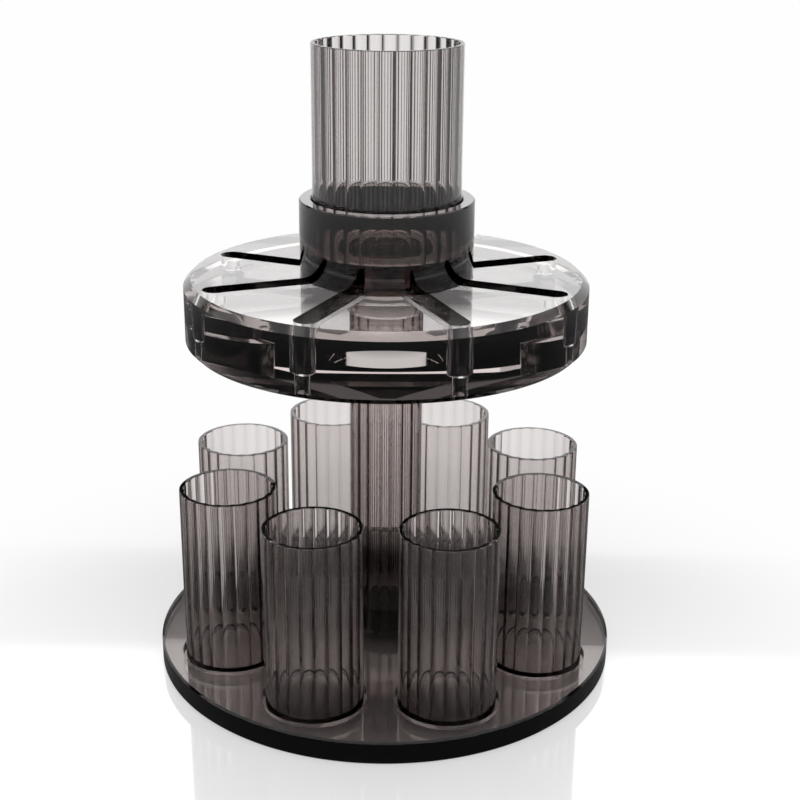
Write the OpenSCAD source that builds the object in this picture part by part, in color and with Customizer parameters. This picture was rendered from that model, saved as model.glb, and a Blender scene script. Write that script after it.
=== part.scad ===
// Wine fountain: eight cups on a round base, and a pouring tube over a distributor disc on a column.
// Origin at the centre of the base's underside, +Z up, front towards -Y.

/* [Base] */
// Radius of the circle that the cups stand on, which sets the plate, the disc and the drip holes
cup_circle_r = 71; // [62:0.5:90]
// Width of plate left between a cup's recess and the plate's edge
base_margin = 7.25; // [3:0.25:20]
// Thickness of the base plate
base_t = 10; // [9:0.5:16]
// Bevel on the plate's two polished edges
base_bevel = 0.8; // [0.4:0.1:1.5]
// Depth of each cup's round recess
recess_depth = 4; // [2:0.5:5]

/* [Cups] */
// Outer diameter of a cup
cup_d = 40.5; // [34:0.5:45]
// Height of a cup
cup_h = 80; // [50:1:90]
// Least wall thickness of a cup, at the middle of a flute
cup_wall = 1.7; // [1.2:0.1:3]
// Thickness of a cup's floor
cup_floor_t = 4.5; // [2:0.5:8]
// Flutes round the inside of a cup
cup_flutes = 20; // [14:1:24]
// Gap all round between a cup's floor and its tube, filled with cement
cement_gap = 0.05; // [0.02:0.01:0.1]

/* [Column] */
// Outer diameter of the column tube
column_d = 31; // [26:0.5:34]
// Height from the base plate's face to the disc's underside
column_h = 134; // [120:1:180]
// Least wall thickness of the column tube
column_wall = 2; // [1.4:0.1:3]
// Flutes round the inside of the column tube
column_flutes = 16; // [12:1:20]
// Height of the black plug in the column's foot
plug_h = 11; // [8:0.5:25]

/* [Head spigot] */
// How far the spigot's flange stands out past the column
flange_reach = 1.5; // [0.5:0.25:4]
// Thickness of the flange, which rests on the column's rim
flange_t = 8; // [5:0.5:12]
// How far the spigot reaches into the column
spigot_h = 12; // [8:1:25]
// Bevel that leads the spigot into the column
spigot_bevel = 1; // [0.5:0.25:2]

/* [Fixing screw] */
// Shank diameter of the screw that holds the column
screw_d = 5; // [4:0.5:6]
// Diameter of the screw's head
screw_head_d = 9; // [8:0.5:12]
// Height of the screw's head
screw_head_h = 2.6; // [2:0.2:3]
// Diameter of the hex socket in the screw's head, across its corners
screw_socket_d = 4.6; // [3:0.2:6]
// Depth of the hex socket
screw_socket_depth = 1.6; // [1:0.2:2]
// How far the shank reaches into the plug
screw_grip = 8; // [5:0.5:10]
// Outer diameter of the washer under the screw's head
washer_d = 12; // [11:0.5:16]
// Thickness of the washer
washer_t = 1; // [0.6:0.1:1.2]

/* [Distributor disc] */
// Width of disc left between the end of a channel and the disc's edge
disc_margin = 5.5; // [4.5:0.5:15]
// Thickness of the disc
disc_t = 28; // [22:0.5:34]
// Bevel round the disc's top edge
disc_top_bevel = 3; // [1:0.25:4]
// Bevel round the disc's bottom edge
disc_bottom_bevel = 2.5; // [0.5:0.25:4]
// Width of each radial channel
channel_w = 10; // [8:0.5:11]
// Depth of the channels and of the chamber that feeds them
channel_depth = 7; // [5:0.5:10]
// How far each drip hole stands outside the middle of the cup below it
drip_offset = 2.5; // [-4:0.5:8]
// Depth from the disc's face at which the drip hole starts to narrow
drip_step_depth = 19; // [16:0.5:20]
// Slope of the cone, left by the drill's point, in which it narrows
drill_slope = 31; // [10:1:45]
// Diameter of the narrow outlet of each drip hole
outlet_d = 6; // [5:0.25:7]
// Bevel at the mouth of each outlet
outlet_bevel = 0.6; // [0.3:0.1:1]

/* [Collar] */
// Outer diameter of the collar
collar_d = 72; // [70:0.5:80]
// Height of the collar above the disc's face
collar_h = 32; // [26:1:45]
// Height of the ledge in the collar that the pouring tube stands on
ledge_h = 11.5; // [8:0.5:16]
// Diameter of the throat below the ledge
throat_d = 36; // [30:0.5:44]
// Bevel on the collar's edges
collar_bevel = 0.5; // [0.3:0.1:1]

/* [Pouring tube] */
// Outer diameter of the pouring tube
tube_d = 61; // [56:0.5:62]
// Length of the pouring tube
tube_h = 82.5; // [60:0.5:140]
// Least wall thickness of the pouring tube
tube_wall = 1.5; // [1.2:0.1:2.5]
// Flutes round the inside of the pouring tube
tube_flutes = 28; // [20:1:36]

/* [Fits] */
// Gap all round between a cup and its recess
cup_gap = 1.5; // [0.8:0.1:2]
// Gap all round between the pouring tube and the collar
tube_gap = 0.5; // [0.3:0.1:1]
// Gap all round between the spigot and the ribs of the column tube
spigot_gap = 0.5; // [0.3:0.1:1]
// Gap all round between the plug and the flutes of the column tube
plug_gap = 0.05; // [0.02:0.01:0.1]
// Gap all round between the screw and the holes that it passes
screw_gap = 0.25; // [0.1:0.05:0.5]
// Depth of a flute, from its ribs to its middle
flute_depth = 0.7; // [0.4:0.1:0.9]
// Bevel on the rims of the tubes and cups
rim_bevel = 0.25; // [0.1:0.05:0.4]

/* [Hidden] */

$fn = 128;
flute_fn = 48;
hex_sides = 6;
places = 8;
spacing = 360 / places;
// The first place is half a step to the right of the front, and the rest follow anticlockwise
first_angle = -90 + spacing / 2;
// How far a cut runs past the face that it opens
over = 1;
// How far inside its ribs a fluted bore's middle is cleared
middle_share = 0.97;

smoke = [0.36, 0.33, 0.32, 0.55];
deep_smoke = [0.22, 0.20, 0.20, 0.75];
black = [0.03, 0.03, 0.03];
steel = [0.70, 0.70, 0.72];

recess_d = cup_d + 2 * cup_gap;
base_d = 2 * (cup_circle_r + base_margin) + recess_d;
drip_r = cup_circle_r + drip_offset;
disc_d = 2 * (drip_r + disc_margin) + channel_w;
cup_z = base_t - recess_depth;
disc_z = base_t + column_h;
face_z = disc_z + disc_t;
channel_z = face_z - channel_depth;
step_z = face_z - drip_step_depth;
ledge_z = face_z + ledge_h;
flange_z = disc_z - flange_t;
column_bore_r = column_d / 2 - column_wall;
column_rib_r = column_bore_r - flute_depth;
plug_r = column_rib_r - plug_gap;
cup_bore_r = cup_d / 2 - cup_wall;
counterbore_r = washer_d / 2 + screw_gap;
counterbore_depth = screw_head_h + washer_t + over;

// Angle of place i round the fountain
function angle(i) = first_angle + (i - 1) * spacing;

// A solid cylinder with a bevel at each end
module bevelled(r, h, top, bottom) {
    rotate_extrude()
        polygon([[0, 0], [r - bottom, 0], [r, bottom], [r, h - top], [r - top, h], [0, h]]);
}

// The hollow of a fluted tube: round flutes whose ribs meet flute_depth inside radius r
module fluted_bore(r, count, h) {
    rib_r = r - flute_depth;
    half_chord = rib_r * sin(180 / count);
    rise = r - rib_r * cos(180 / count);
    flute_r = (half_chord * half_chord + rise * rise) / (2 * rise);
    cylinder(h = h, r = rib_r * middle_share);
    for (i = [0 : count - 1])
        rotate(i * 360 / count)
            translate([r - flute_r, 0, 0])
                cylinder(h = h, r = flute_r, $fn = flute_fn);
}

module at_place(i, r) {
    rotate(angle(i)) translate([r, 0, 0]) children();
}

module base_plate() {
    color(deep_smoke) difference() {
        bevelled(base_d / 2, base_t, base_bevel, base_bevel);
        for (i = [1 : places])
            at_place(i, cup_circle_r) translate([0, 0, cup_z]) cylinder(h = recess_depth + over, d = recess_d);
        translate([0, 0, -over]) cylinder(h = base_t + 2 * over, r = screw_d / 2 + screw_gap);
        translate([0, 0, -over]) cylinder(h = counterbore_depth + over, r = counterbore_r);
    }
}

module column_screw() {
    head_z = counterbore_depth - washer_t - screw_head_h;
    color(steel) difference() {
        union() {
            translate([0, 0, head_z]) cylinder(h = screw_head_h, d = screw_head_d);
            translate([0, 0, head_z]) cylinder(h = base_t + screw_grip - head_z, d = screw_d);
        }
        translate([0, 0, head_z - over])
            cylinder(h = screw_socket_depth + over, d = screw_socket_d, $fn = hex_sides);
    }
}

module column_washer() {
    color(steel) translate([0, 0, counterbore_depth - washer_t]) difference() {
        cylinder(h = washer_t, d = washer_d);
        translate([0, 0, -over]) cylinder(h = washer_t + 2 * over, r = screw_d / 2 + screw_gap);
    }
}

module column_plug() {
    color(black) translate([0, 0, base_t]) difference() {
        cylinder(h = plug_h, r = plug_r);
        translate([0, 0, -over]) cylinder(h = screw_grip + 2 * over, r = screw_d / 2 + plug_gap);
    }
}

module column_tube() {
    length = flange_z - base_t;
    color(smoke) translate([0, 0, base_t]) difference() {
        bevelled(column_d / 2, length, rim_bevel, rim_bevel);
        translate([0, 0, -over]) fluted_bore(column_bore_r, column_flutes, length + 2 * over);
    }
}

module head_spigot() {
    spigot_r = column_rib_r - spigot_gap;
    flange_r = column_d / 2 + flange_reach;
    color(deep_smoke) translate([0, 0, flange_z]) rotate_extrude()
        polygon([[0, -spigot_h], [spigot_r - spigot_bevel, -spigot_h], [spigot_r, spigot_bevel - spigot_h],
                 [spigot_r, 0], [flange_r - rim_bevel, 0], [flange_r, rim_bevel], [flange_r, flange_t],
                 [0, flange_t]]);
}

module distributor_disc() {
    outlet_mouth_r = outlet_d / 2 + outlet_bevel;
    point_h = (channel_w - outlet_d) / 2 * tan(drill_slope);
    color(deep_smoke) difference() {
        translate([0, 0, disc_z]) bevelled(disc_d / 2, disc_t, disc_top_bevel, disc_bottom_bevel);
        translate([0, 0, channel_z]) cylinder(h = channel_depth + over, d = throat_d);
        for (i = [1 : places]) {
            at_place(i, 0) translate([0, -channel_w / 2, channel_z])
                cube([drip_r, channel_w, channel_depth + over]);
            at_place(i, drip_r) translate([0, 0, step_z])
                cylinder(h = drip_step_depth + over, d = channel_w);
            at_place(i, drip_r) translate([0, 0, step_z - point_h])
                cylinder(h = point_h, d1 = outlet_d, d2 = channel_w);
            at_place(i, drip_r) translate([0, 0, disc_z - over])
                cylinder(h = step_z - disc_z, d = outlet_d);
            at_place(i, drip_r) translate([0, 0, disc_z])
                cylinder(h = outlet_bevel, r1 = outlet_mouth_r, r2 = outlet_d / 2);
        }
    }
}

module collar() {
    color(deep_smoke) translate([0, 0, face_z]) difference() {
        bevelled(collar_d / 2, collar_h, collar_bevel, collar_bevel);
        translate([0, 0, -over]) cylinder(h = collar_h, d = throat_d);
        translate([0, 0, ledge_h]) cylinder(h = collar_h, r = tube_d / 2 + tube_gap);
    }
}

module pouring_tube() {
    color(smoke) translate([0, 0, ledge_z]) difference() {
        bevelled(tube_d / 2, tube_h, rim_bevel, rim_bevel);
        translate([0, 0, -over]) fluted_bore(tube_d / 2 - tube_wall, tube_flutes, tube_h + 2 * over);
    }
}

module cup(i) {
    color(smoke) at_place(i, cup_circle_r) translate([0, 0, cup_z]) difference() {
        bevelled(cup_d / 2, cup_h, rim_bevel, rim_bevel);
        translate([0, 0, -over]) fluted_bore(cup_bore_r, cup_flutes, cup_h + 2 * over);
    }
}

// The floor is cut to the flutes of its cup and cemented in flush with the tube's foot
module cup_floor(i) {
    color(smoke) at_place(i, cup_circle_r) translate([0, 0, cup_z]) intersection() {
        cylinder(h = cup_floor_t, r = cup_bore_r);
        translate([0, 0, -over]) fluted_bore(cup_bore_r - cement_gap, cup_flutes, cup_floor_t + 2 * over);
    }
}

base_plate();
column_screw();
column_washer();
column_plug();
column_tube();
distributor_disc();
head_spigot();
collar();
pouring_tube();
for (i = [1 : places])
    cup(i);
for (i = [1 : places])
    cup_floor(i);
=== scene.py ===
"""Looks of the wine fountain: a smoke acrylic stand with a pouring head and eight loose cups."""
import math

import bmesh
import bpy
from mathutils import Matrix, Vector


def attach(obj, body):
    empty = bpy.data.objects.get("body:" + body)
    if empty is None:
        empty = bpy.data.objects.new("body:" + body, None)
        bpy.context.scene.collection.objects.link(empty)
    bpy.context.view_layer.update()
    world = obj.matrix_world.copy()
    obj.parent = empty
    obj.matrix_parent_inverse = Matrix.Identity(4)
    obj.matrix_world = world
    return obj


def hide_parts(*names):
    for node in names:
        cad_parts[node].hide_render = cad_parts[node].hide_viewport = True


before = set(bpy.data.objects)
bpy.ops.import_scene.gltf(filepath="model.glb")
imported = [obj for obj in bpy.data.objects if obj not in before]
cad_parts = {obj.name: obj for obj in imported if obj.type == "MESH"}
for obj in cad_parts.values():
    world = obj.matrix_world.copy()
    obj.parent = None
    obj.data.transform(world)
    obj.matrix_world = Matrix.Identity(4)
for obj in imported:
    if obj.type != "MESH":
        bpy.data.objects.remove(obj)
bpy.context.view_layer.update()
bpy.ops.object.select_all(action="DESELECT")

MM = 0.001
PLACES = 8
FIRST_PLACE = math.radians(-67.5)
# Radii and heights in mm: the circles of the cups and of the drip holes, and the levels where pieces meet
CUP_CIRCLE = 71
DRIP_CIRCLE = 73.5
RECESS_FLOOR = 6
PLATE_FACE = 10
COLUMN_RIM = 136
DISC_UNDERSIDE = 144
CHANNEL_FLOOR = 165
DISC_FACE = 172
COLLAR_LEDGE = 183.5
COLLAR_RIM = 204
TUBE_RIM = 266
# Clear pieces that rest on each other are drawn this far apart, so that each keeps its own skin
SKIN = 0.02
# Straight sides that stand for a large circle, and for a hole or a small turned piece
ROUND = 256
SMALL_ROUND = 96


# Camera, at the photograph's place: a little above the disc, turned 1.5 degrees with the fountain

def camera_at(place, yaw, pitch, roll, focal_px, width_px=800, sensor=36):
    forward = Vector((math.sin(yaw) * math.cos(pitch), math.cos(yaw) * math.cos(pitch), -math.sin(pitch)))
    level = Vector((math.cos(yaw), -math.sin(yaw), 0))
    up = level.cross(forward)
    right = level * math.cos(roll) + up * math.sin(roll)
    up = up * math.cos(roll) - level * math.sin(roll)
    data = bpy.data.cameras.new("camera")
    data.sensor_width = sensor
    data.lens = focal_px / width_px * sensor
    data.clip_start = 0.01
    data.clip_end = 60
    camera = bpy.data.objects.new("camera", data)
    bpy.context.scene.collection.objects.link(camera)
    turn = Matrix((right, up, -forward)).transposed().to_4x4()
    camera.matrix_world = Matrix.Translation(Vector(place) * MM) @ turn
    bpy.context.scene.camera = camera


camera_at(place=(15.34, -585.75, 330.5), yaw=-0.01598, pitch=0.3511, roll=0.0079, focal_px=1453.3)


# How the pieces are shaped

def only(piece):
    bpy.ops.object.select_all(action="DESELECT")
    piece.select_set(True)
    bpy.context.view_layer.objects.active = piece


def pick(piece, wanted):
    """In edit mode, selects the vertices whose place in mm is wanted, with the edges and faces between them."""
    bpy.ops.mesh.select_mode(type="VERT")
    bpy.ops.mesh.select_all(action="DESELECT")
    mesh = bmesh.from_edit_mesh(piece.data)
    for vertex in mesh.verts:
        vertex.select = wanted(vertex.co / MM)
    mesh.select_flush(True)
    bmesh.update_edit_mesh(piece.data)


def close_up(piece):
    """Joins the seams of a finished outline and points its faces outwards."""
    bpy.ops.mesh.select_all(action="SELECT")
    bpy.ops.mesh.remove_doubles(threshold=0.001 * MM)
    bpy.ops.mesh.normals_make_consistent(inside=False)
    bpy.ops.object.mode_set(mode="OBJECT")


def turned(name, outline, steps=ROUND, hollow=False):
    """Raises rings of (radius, height) in mm from a circle: a solid capped at both ends, or a hollow ring."""
    radius, height = outline[0]
    bpy.ops.mesh.primitive_circle_add(vertices=steps, radius=radius * MM, location=(0, 0, height * MM),
                                      fill_type="NOTHING" if hollow else "NGON")
    piece = bpy.context.object
    piece.name = name
    bpy.ops.object.transform_apply(location=True)
    bpy.ops.object.mode_set(mode="EDIT")
    bpy.ops.mesh.select_all(action="SELECT")
    for radius_next, height_next in outline[1:] + (outline[:1] if hollow else []):
        bpy.ops.mesh.extrude_region_move(TRANSFORM_OT_translate={"value": (0, 0, (height_next - height) * MM)})
        grow = radius_next / radius
        bpy.ops.transform.resize(value=(grow, grow, 1), center_override=(0, 0, 0))
        radius, height = radius_next, height_next
    close_up(piece)
    return piece


def flute(piece, bore, count, depth, steps):
    """Presses round flutes into the wall at radius bore: each row of vertices goes to its place on the flute."""
    rib = bore - depth
    half = rib * math.sin(math.pi / count)
    rise = bore - rib * math.cos(math.pi / count)
    curve = (half * half + rise * rise) / (2 * rise)
    centre = bore - curve
    only(piece)
    bpy.ops.object.mode_set(mode="EDIT")
    for row in range(1, steps):
        t = (row if row <= steps / 2 else steps - row) * 2 * math.pi / (count * steps)
        reach = centre * math.cos(t) + math.sqrt(curve ** 2 - (centre * math.sin(t)) ** 2)

        def on_row(place):
            turn = round(math.atan2(place.y, place.x) * count * steps / (2 * math.pi)) % steps
            return turn == row and math.hypot(place.x, place.y) < bore + 0.4
        pick(piece, on_row)
        bpy.ops.transform.resize(value=(reach / bore, reach / bore, 1), center_override=(0, 0, 0))
    bpy.ops.object.mode_set(mode="OBJECT")


def fluted_tube(name, outside, wall, count, foot, rim, depth=0.7, edge=0.25, steps=12):
    bore = outside - wall
    piece = turned(name, [(outside - edge, foot), (outside, foot + edge), (outside, rim - edge),
                          (outside - edge, rim), (bore + edge, rim), (bore, rim - edge),
                          (bore, foot + edge), (bore + edge, foot)], count * steps, hollow=True)
    flute(piece, bore, count, depth, steps)
    return piece


def smooth(piece, angle=28):
    only(piece)
    bpy.ops.object.shade_smooth_by_angle(angle=math.radians(angle))


def cut(piece, cutter, operation="DIFFERENCE"):
    """Cuts a piece with a cutter, or joins the two, uses the cutter up and clears the slivers that are left."""
    only(piece)
    boolean = piece.modifiers.new("cut", "BOOLEAN")
    boolean.object = cutter
    boolean.operation = operation
    boolean.solver = "EXACT"
    bpy.ops.object.modifier_apply(modifier="cut")
    bpy.ops.object.mode_set(mode="EDIT")
    bpy.ops.mesh.select_all(action="SELECT")
    bpy.ops.mesh.remove_doubles(threshold=0.001 * MM)
    bpy.ops.mesh.dissolve_degenerate(threshold=0.001 * MM)
    bpy.ops.object.mode_set(mode="OBJECT")
    only(cutter)
    bpy.ops.object.delete()


def put_round(piece, radius, names):
    """Copies a piece made at the centre to each place round the fountain, and returns the copies."""
    copies = []
    for i, name in enumerate(names):
        only(piece)
        bpy.ops.object.duplicate()
        copy = bpy.context.object
        copy.name = name
        angle = FIRST_PLACE + 2 * math.pi * i / PLACES
        copy.location = (radius * MM * math.cos(angle), radius * MM * math.sin(angle), 0)
        copy.rotation_euler = (0, 0, angle)
        bpy.ops.object.transform_apply(location=True, rotation=True)
        copies.append(copy)
    only(piece)
    bpy.ops.object.delete()
    return copies


def joined(copies):
    only(copies[0])
    for copy in copies:
        copy.select_set(True)
    bpy.ops.object.join()
    return bpy.context.object


def mark_cut_satin_and_shade(piece, satin_and_shade):
    """Writes how satin the cutter left each face, and with it how dark a painted shade the face gets: the function
    is given whether the face is level, its height and reach.
    """
    satin_and_painted_shade = piece.data.attributes.new("satin_and_painted_shade", "FLOAT", "FACE")
    for i, face in enumerate(piece.data.polygons):
        place = face.center / MM
        satin_and_painted_shade.data[i].value = satin_and_shade(abs(face.normal.z) > 0.9, place.z, math.hypot(place.x, place.y))


def channel_satin_and_shade(level, z, reach):
    """Walls as the cutter's side leaves them and painted fully dark as shade, and floors a little cleaner with a
    quarter of that painted shade.
    """
    if level:
        return 0.25 if abs(z - CHANNEL_FLOOR) < 0.1 else 0.0
    return 1.0 if DISC_UNDERSIDE + 0.5 < z < DISC_FACE - 0.01 and reach < 79 else 0.0


# Walls cut into the plate's face, of the recesses and the screw hole, are left satin and painted dark as shade.
def recess_satin_and_shade(level, z, reach):
    return 1.0 if not level and RECESS_FLOOR < z < PLATE_FACE - 0.1 and reach < 95 else 0.0


def drip_channel():
    """The space of one channel with its drip hole, drawn along +X from the chamber to the hole's centre."""
    inner_end, half_width, rise = 14.5, 5, 8.5
    bpy.ops.mesh.primitive_circle_add(vertices=SMALL_ROUND, radius=half_width * MM,
                                      location=(0, 0, CHANNEL_FLOOR * MM), fill_type="NGON")
    slot = bpy.context.object
    bpy.ops.object.transform_apply(location=True)
    bpy.ops.object.mode_set(mode="EDIT")
    bpy.ops.mesh.select_all(action="SELECT")
    bpy.ops.mesh.bisect(plane_co=(0, 0, CHANNEL_FLOOR * MM), plane_no=(-1, 0, 0), clear_outer=True)
    pick(slot, lambda place: place.x < 0.01)
    bpy.ops.mesh.extrude_region_move(TRANSFORM_OT_translate={"value": ((inner_end - DRIP_CIRCLE) * MM, 0, 0)})
    bpy.ops.mesh.select_all(action="SELECT")
    bpy.ops.mesh.extrude_region_move(TRANSFORM_OT_translate={"value": (0, 0, rise * MM)})
    close_up(slot)
    drill = turned("drill", [(3.6, 143), (3.6, DISC_UNDERSIDE), (3, 144.6), (3, 151.8), (half_width, 153),
                             (half_width, 166)], SMALL_ROUND)
    cut(slot, drill, "UNION")
    return slot


# Materials

def linear(code):
    """A colour written as sRGB hex, as linear RGBA."""
    parts = [int(code[i:i + 2], 16) / 255 for i in (1, 3, 5)]
    return [p / 12.92 if p <= 0.04045 else ((p + 0.055) / 1.055) ** 2.4 for p in parts] + [1]


def add(tree, kind, settings=None, links=None):
    """Adds a node, sets its properties and sockets, and links other sockets into it."""
    new = tree.nodes.new(kind)
    for key, value in (settings or {}).items():
        if isinstance(key, str) and hasattr(new, key):
            setattr(new, key, value)
        else:
            new.inputs[key].default_value = value
    for key, source in (links or {}).items():
        tree.links.new(source, new.inputs[key])
    return new


def start(name):
    material = bpy.data.materials.new(name)
    material.use_nodes = True
    material.node_tree.nodes.clear()
    return material, material.node_tree


def cast_smoke_acrylic(name, tint, density):
    # Thick cast sheet, turned, milled and polished. The eye gets a clear grey-brown depth that nearly blacks
    # out over the width of the disc, mirror edges, and a soft satin bloom where the cutter milled a channel.
    # The cut walls and floors also get a dark grey-brown base colour as painted shade, which darkens the
    # channels and the cup recesses.
    material, tree = start(name)
    place = add(tree, "ShaderNodeTexCoord").outputs["Object"]
    cloud = add(tree, "ShaderNodeTexNoise", {"Scale": 55.0, "Detail": 2.0, "Roughness": 0.5}, {"Vector": place})
    polish = add(tree, "ShaderNodeMapRange", {"From Min": 0.35, "From Max": 0.7, "To Min": 0.0, "To Max": 0.02},
                 {"Value": cloud.outputs["Fac"]})
    satin_and_painted_shade = add(tree, "ShaderNodeAttribute", {"attribute_name": "satin_and_painted_shade"})
    rough = add(tree, "ShaderNodeMath", {"operation": "MULTIPLY_ADD", 1: 0.1},
                {0: satin_and_painted_shade.outputs["Fac"], 2: polish.outputs["Result"]})
    # Painted shade: the attribute turns cut faces from white towards dark grey-brown, so channels and recesses look
    # shaded
    painted_shade_colour = add(tree, "ShaderNodeMix", {"data_type": "RGBA", 6: linear("#ffffff"), 7: linear("#2a2625")},
               {0: satin_and_painted_shade.outputs["Fac"]})
    shader = add(tree, "ShaderNodeBsdfPrincipled",
                 {"IOR": 1.49, "Transmission Weight": 1.0},
                 {"Base Color": painted_shade_colour.outputs[2], "Roughness": rough.outputs[0]})
    depth = add(tree, "ShaderNodeVolumeAbsorption", {"Color": linear(tint), "Density": density})
    add(tree, "ShaderNodeOutputMaterial", {},
        {"Surface": shader.outputs[0], "Volume": depth.outputs[0]})
    return material


def extruded_smoke_acrylic(name, density):
    # Fluted tube pushed through a die. The eye gets a thinner smoke with faint upright die lines, 0.5 mm
    # apart, and fire-polished rims.
    material, tree = start(name)
    place = add(tree, "ShaderNodeTexCoord").outputs["Object"]
    stretched = add(tree, "ShaderNodeMapping", {"Scale": (2000.0, 2000.0, 12.0)}, {"Vector": place})
    lines = add(tree, "ShaderNodeTexNoise", {"Scale": 1.0, "Detail": 1.0}, {"Vector": stretched.outputs[0]})
    bump = add(tree, "ShaderNodeBump", {"Strength": 0.02, "Distance": 0.00001}, {"Height": lines.outputs["Fac"]})
    polish = add(tree, "ShaderNodeMapRange", {"From Min": 0.4, "From Max": 0.7, "To Min": 0.0, "To Max": 0.01},
                 {"Value": lines.outputs["Fac"]})
    shader = add(tree, "ShaderNodeBsdfPrincipled",
                 {"Base Color": linear("#ffffff"), "IOR": 1.49, "Transmission Weight": 1.0},
                 {"Roughness": polish.outputs["Result"], "Normal": bump.outputs[0]})
    depth = add(tree, "ShaderNodeVolumeAbsorption", {"Color": linear("#b5a6a2"), "Density": density})
    add(tree, "ShaderNodeOutputMaterial", {},
        {"Surface": shader.outputs[0], "Volume": depth.outputs[0]})
    return material


def moulded_black_plastic():
    # Injection-moulded nylon plug. The eye gets a near black with a fine spark-eroded grain, 0.4 mm across.
    material, tree = start("moulded_black_nylon")
    place = add(tree, "ShaderNodeTexCoord").outputs["Object"]
    grain = add(tree, "ShaderNodeTexNoise", {"Scale": 2500.0, "Detail": 3.0}, {"Vector": place})
    bump = add(tree, "ShaderNodeBump", {"Strength": 0.35, "Distance": 0.00005}, {"Height": grain.outputs["Fac"]})
    tone = add(tree, "ShaderNodeMix", {"data_type": "RGBA", 6: linear("#0a0a0b"), 7: linear("#101011")},
               {0: grain.outputs["Fac"]})
    gloss = add(tree, "ShaderNodeMapRange", {"To Min": 0.5, "To Max": 0.65}, {"Value": grain.outputs["Fac"]})
    shader = add(tree, "ShaderNodeBsdfPrincipled", {"IOR": 1.53, "Specular IOR Level": 0.25},
                 {"Base Color": tone.outputs[2], "Roughness": gloss.outputs["Result"], "Normal": bump.outputs[0]})
    add(tree, "ShaderNodeOutputMaterial", {}, {"Surface": shader.outputs[0]})
    return material


def turned_stainless_steel():
    # Bright stainless screw and washer, turned on a lathe. The eye gets a warm grey metal with fine rings
    # round the axis, 0.3 mm apart.
    material, tree = start("turned_stainless_steel")
    place = add(tree, "ShaderNodeTexCoord").outputs["Object"]
    rings = add(tree, "ShaderNodeTexWave", {"wave_type": "RINGS", "rings_direction": "Z", "Scale": 520.0,
                                            "Distortion": 1.5, "Detail": 2.0}, {"Vector": place})
    wear = add(tree, "ShaderNodeTexNoise", {"Scale": 400.0, "Detail": 4.0}, {"Vector": place})
    tone = add(tree, "ShaderNodeMix", {"data_type": "RGBA", 6: linear("#b4b2ae"), 7: linear("#cfcdc9")},
               {0: wear.outputs["Fac"]})
    gloss = add(tree, "ShaderNodeMapRange", {"To Min": 0.18, "To Max": 0.34}, {"Value": rings.outputs["Fac"]})
    bump = add(tree, "ShaderNodeBump", {"Strength": 0.25, "Distance": 0.00003}, {"Height": rings.outputs["Fac"]})
    shader = add(tree, "ShaderNodeBsdfPrincipled", {"Metallic": 1.0},
                 {"Base Color": tone.outputs[2], "Roughness": gloss.outputs["Result"], "Normal": bump.outputs[0]})
    add(tree, "ShaderNodeOutputMaterial", {}, {"Surface": shader.outputs[0]})
    return material


LIGHT = cast_smoke_acrylic("cast_smoke_acrylic_light", "#b5a6a2", 10.0)
DARK = cast_smoke_acrylic("cast_smoke_acrylic_dark", "#b5a6a2", 85.0)
RING = cast_smoke_acrylic("cast_smoke_acrylic_ring", "#b5a6a2", 300.0)
EXTRUDED = extruded_smoke_acrylic("extruded_smoke_acrylic", 250.0)
COLUMN = extruded_smoke_acrylic("extruded_smoke_acrylic_column", 350.0)
BLACK = moulded_black_plastic()
STEEL = turned_stainless_steel()


def fit(piece, material, body, *nodes):
    """Gives a finished piece its material, and puts it on its body in place of its CAD nodes."""
    smooth(piece)
    piece.data.materials.clear()
    piece.data.materials.append(material)
    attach(piece, body)
    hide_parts(*nodes)


# Base plate: a turned plate with eight recesses, and a stepped hole for the screw from below

base = turned("base_plate_turned", [(99.2, 0), (100, 0.8), (100, 9.2), (99.2, PLATE_FACE)])
recess = turned("recess", [(21.75, RECESS_FLOOR), (21.75, 11)])
cut(base, joined(put_round(recess, CUP_CIRCLE, ["recess_cut"] * PLACES)))
cut(base, turned("screw_way", [(6.25, -1), (6.25, 4.6), (2.75, 4.6), (2.75, 11)], SMALL_ROUND))
mark_cut_satin_and_shade(base, recess_satin_and_shade)
fit(base, DARK, "stand", "base_plate")

# Column: fluted tube on a black plug, held from below by a screw and washer

column = fluted_tube("column_tube_fluted", outside=15.5, wall=2, count=16, foot=PLATE_FACE + SKIN,
                     rim=COLUMN_RIM - SKIN)
fit(column, COLUMN, "stand", "column_tube")

plug = turned("column_plug_moulded", [(2.55, 19), (2.55, PLATE_FACE + SKIN), (12.35, PLATE_FACE + SKIN),
                                      (12.75, 10.4), (12.75, 20.4), (12.15, 21)], 128)
fit(plug, BLACK, "stand", "column_plug")

screw = turned("column_screw_turned", [(4.1, 1), (4.5, 1.4), (4.5, 3.3), (4.3, 3.6 - SKIN), (2.5, 3.6 - SKIN),
                                       (2.5, 17.2), (1.8, 18)], SMALL_ROUND)
socket = turned("socket", [(2.3, 0), (2.3, 2.6)], 6)
cut(screw, socket)
fit(screw, STEEL, "stand", "column_screw")

washer = turned("column_washer_stamped", [(2.75, 3.6), (5.8, 3.6), (6, 3.8), (6, 4.4), (5.8, 4.6 - SKIN),
                                          (2.75, 4.6 - SKIN)], 128, hollow=True)
fit(washer, STEEL, "stand", "column_washer")

# Head: disc and spigot in one, because light passes their cement without a seam, and the collar on the face

head = turned("head_block", [(11.3, 124), (12.3, 125), (12.3, COLUMN_RIM), (16.75, COLUMN_RIM), (17, 136.25),
                             (17, DISC_UNDERSIDE), (81.5, DISC_UNDERSIDE), (84, 146.5), (84, 169),
                             (81, DISC_FACE), (18, DISC_FACE), (18, CHANNEL_FLOOR)])
cut(head, joined(put_round(drip_channel(), DRIP_CIRCLE, ["channel_cut"] * PLACES)))
mark_cut_satin_and_shade(head, channel_satin_and_shade)
fit(head, LIGHT, "head", "distributor_disc", "head_spigot")

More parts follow.
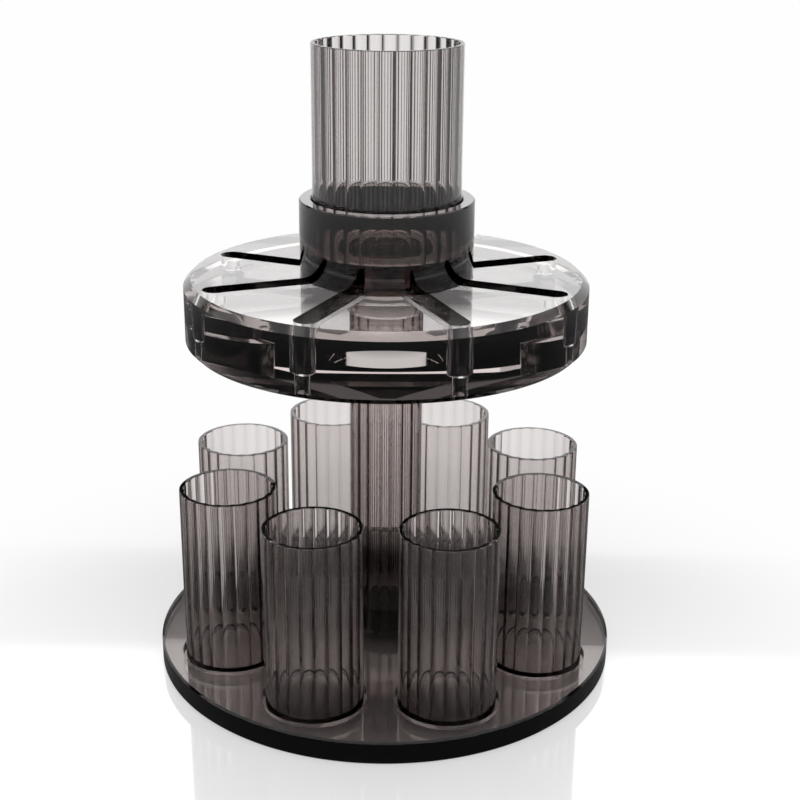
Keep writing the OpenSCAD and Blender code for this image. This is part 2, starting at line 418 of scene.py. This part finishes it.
collar = turned("collar_turned", [(35.5, DISC_FACE + SKIN), (36, 172.5), (36, 203.5), (35.5, COLLAR_RIM),
                                  (31.5, COLLAR_RIM), (31, 203.5), (31, COLLAR_LEDGE - SKIN),
                                  (18, COLLAR_LEDGE - SKIN), (18, DISC_FACE + SKIN)], hollow=True)
fit(collar, RING, "head", "collar")

pouring = fluted_tube("pouring_tube_fluted", outside=30.5, wall=1.5, count=28, foot=COLLAR_LEDGE, rim=TUBE_RIM)
fit(pouring, EXTRUDED, "pouring_tube", "pouring_tube")

# Cups: fluted tubes with a fluted floor cemented in

tube = fluted_tube("cup_tube", outside=20.25, wall=1.7, count=20, foot=RECESS_FLOOR + SKIN, rim=86)
cup_floor = turned("cup_floor", [(18.5, RECESS_FLOOR + SKIN), (18.5, 10.5)], 240)
flute(cup_floor, bore=18.5, count=20, depth=0.7, steps=12)
tubes = put_round(tube, CUP_CIRCLE, [f"cup_{i}_fluted" for i in range(1, PLACES + 1)])
floors = put_round(cup_floor, CUP_CIRCLE, [f"cup_floor_{i}_fluted" for i in range(1, PLACES + 1)])
for i, (tube, cup_floor) in enumerate(zip(tubes, floors), 1):
    fit(tube, EXTRUDED, f"cup_{i}", f"cup_{i}")
    fit(cup_floor, EXTRUDED, f"cup_{i}", f"cup_floor_{i}")


# Studio: pale glossy floor, white surroundings, softboxes above and behind, and black cloth round the disc

def pale_floor():
    # Coated white sheet. The eye gets a white that keeps the fountain's shadow and a faint mirror image, and
    # fades into the backdrop further out.
    bpy.ops.mesh.primitive_plane_add(size=40, location=(0, 0, -SKIN * MM))
    floor = bpy.context.object
    floor.name = "studio_floor"
    bpy.ops.object.mode_set(mode="EDIT")
    bpy.ops.mesh.subdivide(number_cuts=3)
    bpy.ops.object.mode_set(mode="OBJECT")
    material, tree = start("coated_white_sheet")
    place = add(tree, "ShaderNodeTexCoord").outputs["Object"]
    flat = add(tree, "ShaderNodeVectorMath", {"operation": "MULTIPLY", 1: (1.0, 1.0, 0.0)}, {0: place})
    away = add(tree, "ShaderNodeVectorMath", {"operation": "LENGTH"}, {0: flat.outputs[0]})
    path = add(tree, "ShaderNodeLightPath")
    # The camera sees the sheet itself near the fountain, and plain white from 0.26 m out
    fade = add(tree, "ShaderNodeMapRange", {"interpolation_type": "SMOOTHSTEP", "From Min": 0.1, "From Max": 0.26,
                                            "To Min": 0.45}, {"Value": away.outputs["Value"]})
    share = add(tree, "ShaderNodeMath", {"operation": "MULTIPLY"},
                {0: path.outputs["Is Camera Ray"], 1: fade.outputs["Result"]})
    matt = add(tree, "ShaderNodeBsdfDiffuse", {"Color": linear("#f3f3f3")})
    gloss = add(tree, "ShaderNodeBsdfGlossy", {"Color": linear("#f6f6f6"), "Roughness": 0.05})
    sheet = add(tree, "ShaderNodeMixShader", {0: 0.28}, {1: matt.outputs[0], 2: gloss.outputs[0]})
    white = add(tree, "ShaderNodeEmission", {"Color": linear("#fefefe"), "Strength": 1.0})
    surface = add(tree, "ShaderNodeMixShader", {}, {0: share.outputs[0], 1: sheet.outputs[0], 2: white.outputs[0]})
    # Seen through glass it is white to 0.45 m, dim behind that, and past 0.9 m white with eight dark strips,
    # which draw the flutes of the pouring tube
    side = add(tree, "ShaderNodeSeparateXYZ", {}, {0: place})
    turn = add(tree, "ShaderNodeMath", {"operation": "ARCTAN2"}, {0: side.outputs["X"], 1: side.outputs["Y"]})
    eighths = add(tree, "ShaderNodeMath", {"operation": "MULTIPLY", 1: 8.0}, {0: turn.outputs[0]})
    wave = add(tree, "ShaderNodeMath", {"operation": "COSINE"}, {0: eighths.outputs[0]})
    strips = add(tree, "ShaderNodeMapRange", {"interpolation_type": "SMOOTHSTEP", "From Min": -0.3, "From Max": 0.6,
                                              "To Min": 0.02}, {"Value": wave.outputs[0]})
    beyond = add(tree, "ShaderNodeMapRange", {"From Min": 0.85, "From Max": 0.95}, {"Value": away.outputs["Value"]})
    ring = add(tree, "ShaderNodeMapRange", {"From Min": 0.435, "From Max": 0.475, "To Min": 1.0, "To Max": 0.2},
               {"Value": away.outputs["Value"]})
    through = add(tree, "ShaderNodeMix", {"data_type": "FLOAT"},
                  {0: beyond.outputs["Result"], 2: ring.outputs["Result"], 3: strips.outputs["Result"]})
    # Mirrored in glass it is dark near the fountain, so the disc's and the plate's sides stay black
    mirrored = add(tree, "ShaderNodeMath", {"operation": "SUBTRACT", "use_clamp": True},
                   {0: path.outputs["Is Glossy Ray"], 1: path.outputs["Is Transmission Ray"]})
    mirror = add(tree, "ShaderNodeMapRange", {"From Min": 0.55, "From Max": 1.1, "To Min": 0.1},
                 {"Value": away.outputs["Value"]})
    level = add(tree, "ShaderNodeMix", {"data_type": "FLOAT"},
                {0: mirrored.outputs[0], 2: through.outputs[0], 3: mirror.outputs["Result"]})
    in_glass = add(tree, "ShaderNodeEmission", {"Color": linear("#fefefe")}, {"Strength": level.outputs[0]})
    clear_of_plate = add(tree, "ShaderNodeMapRange", {"From Min": 0.15, "From Max": 0.3},
                         {"Value": away.outputs["Value"]})
    glass_share = add(tree, "ShaderNodeMath", {"operation": "MULTIPLY"},
                      {0: path.outputs["Is Transmission Ray"], 1: clear_of_plate.outputs["Result"]})
    glass_share = add(tree, "ShaderNodeMath", {"operation": "MAXIMUM"},
                      {0: glass_share.outputs[0], 1: mirrored.outputs[0]})
    surface = add(tree, "ShaderNodeMixShader", {},
                  {0: glass_share.outputs[0], 1: surface.outputs[0], 2: in_glass.outputs[0]})
    add(tree, "ShaderNodeOutputMaterial", {}, {"Surface": surface.outputs[0]})
    floor.data.materials.append(material)


def surroundings():
    # The camera sees white. So does glass, but for a dark band from 23 to 27 degrees up, which the back of the
    # base plate mirrors.
    world = bpy.data.worlds.new("studio")
    bpy.context.scene.world = world
    world.use_nodes = True
    tree = world.node_tree
    tree.nodes.clear()
    way = add(tree, "ShaderNodeTexCoord").outputs["Generated"]
    height = add(tree, "ShaderNodeSeparateXYZ", {}, {0: way}).outputs["Z"]
    bands = add(tree, "ShaderNodeValToRGB", {}, {0: height})
    ramp = bands.color_ramp
    ramp.elements[0].position, ramp.elements[0].color = 0.36, (1, 1, 1, 1)
    ramp.elements[1].position, ramp.elements[1].color = 0.5, (1, 1, 1, 1)
    for position in (0.39, 0.45):
        ramp.elements.new(position).color = (0.04, 0.04, 0.04, 1)
    room = add(tree, "ShaderNodeBackground", {"Strength": 1.0}, {"Color": bands.outputs[0]})
    white = add(tree, "ShaderNodeBackground", {"Color": linear("#ffffff"), "Strength": 1.0})
    path = add(tree, "ShaderNodeLightPath")
    sky = add(tree, "ShaderNodeMixShader", {}, {0: path.outputs["Is Camera Ray"], 1: room.outputs[0],
                                                2: white.outputs[0]})
    add(tree, "ShaderNodeOutputWorld", {}, {"Surface": sky.outputs[0]})


def softbox(name, place, target, width, height, power):
    data = bpy.data.lights.new(name, "AREA")
    data.shape = "RECTANGLE"
    data.size = width
    data.size_y = height
    data.energy = power
    lamp = bpy.data.objects.new(name, data)
    bpy.context.scene.collection.objects.link(lamp)
    lamp.location = place
    lamp.rotation_euler = (Vector(target) - Vector(place)).to_track_quat("-Z", "Y").to_euler()
    lamp.visible_camera = False


def black_flag():
    # Black cloth round the disc with a brim turned in above it, out of the camera's sight, as glass is
    # photographed: it is what the block's far side shows, so the block goes dark from edge to edge.
    bpy.ops.mesh.primitive_cylinder_add(vertices=96, radius=0.15, depth=0.046, location=(0, 0, 0.155),
                                        end_fill_type="NOTHING")
    flag = bpy.context.object
    flag.name = "black_flag"
    bpy.ops.object.transform_apply(location=True)
    bpy.ops.object.mode_set(mode="EDIT")
    pick(flag, lambda place: place.z > 170)
    bpy.ops.mesh.extrude_region_move(TRANSFORM_OT_translate={"value": (0, 0, 0)})
    bpy.ops.transform.resize(value=(0.75, 0.75, 1), center_override=(0, 0, 0.178))
    bpy.ops.object.mode_set(mode="OBJECT")
    material, tree = start("black_cloth")
    place = add(tree, "ShaderNodeTexCoord").outputs["Object"]
    nap = add(tree, "ShaderNodeTexNoise", {"Scale": 800.0, "Detail": 2.0}, {"Vector": place})
    tone = add(tree, "ShaderNodeMix", {"data_type": "RGBA", 6: linear("#080808"), 7: linear("#0c0c0c")},
               {0: nap.outputs["Fac"]})
    cloth = add(tree, "ShaderNodeBsdfDiffuse", {}, {"Color": tone.outputs[2]})
    add(tree, "ShaderNodeOutputMaterial", {}, {"Surface": cloth.outputs[0]})
    flag.data.materials.append(material)
    flag.visible_camera = False
    flag.visible_diffuse = False
    flag.visible_glossy = False
    flag.visible_shadow = False


pale_floor()
surroundings()
black_flag()
# The disc's face mirrors the lower softbox behind, and the front of the base plate the higher one
softbox("overhead", place=(0, 0.1, 1.9), target=(0, 0, 0.1), width=1.4, height=1.0, power=4)
softbox("behind", place=(0, 2.5, 0.935), target=(0, 0, 0.17), width=2.0, height=0.45, power=2.4)
softbox("behind_high", place=(0, 2.0, 1.5), target=(0, 0, 0), width=2.0, height=0.6, power=4.5)

cycles = bpy.context.scene.cycles
cycles.max_bounces = 48
cycles.transmission_bounces = 48
cycles.glossy_bounces = 16
bpy.context.scene.view_settings.view_transform = "Standard"
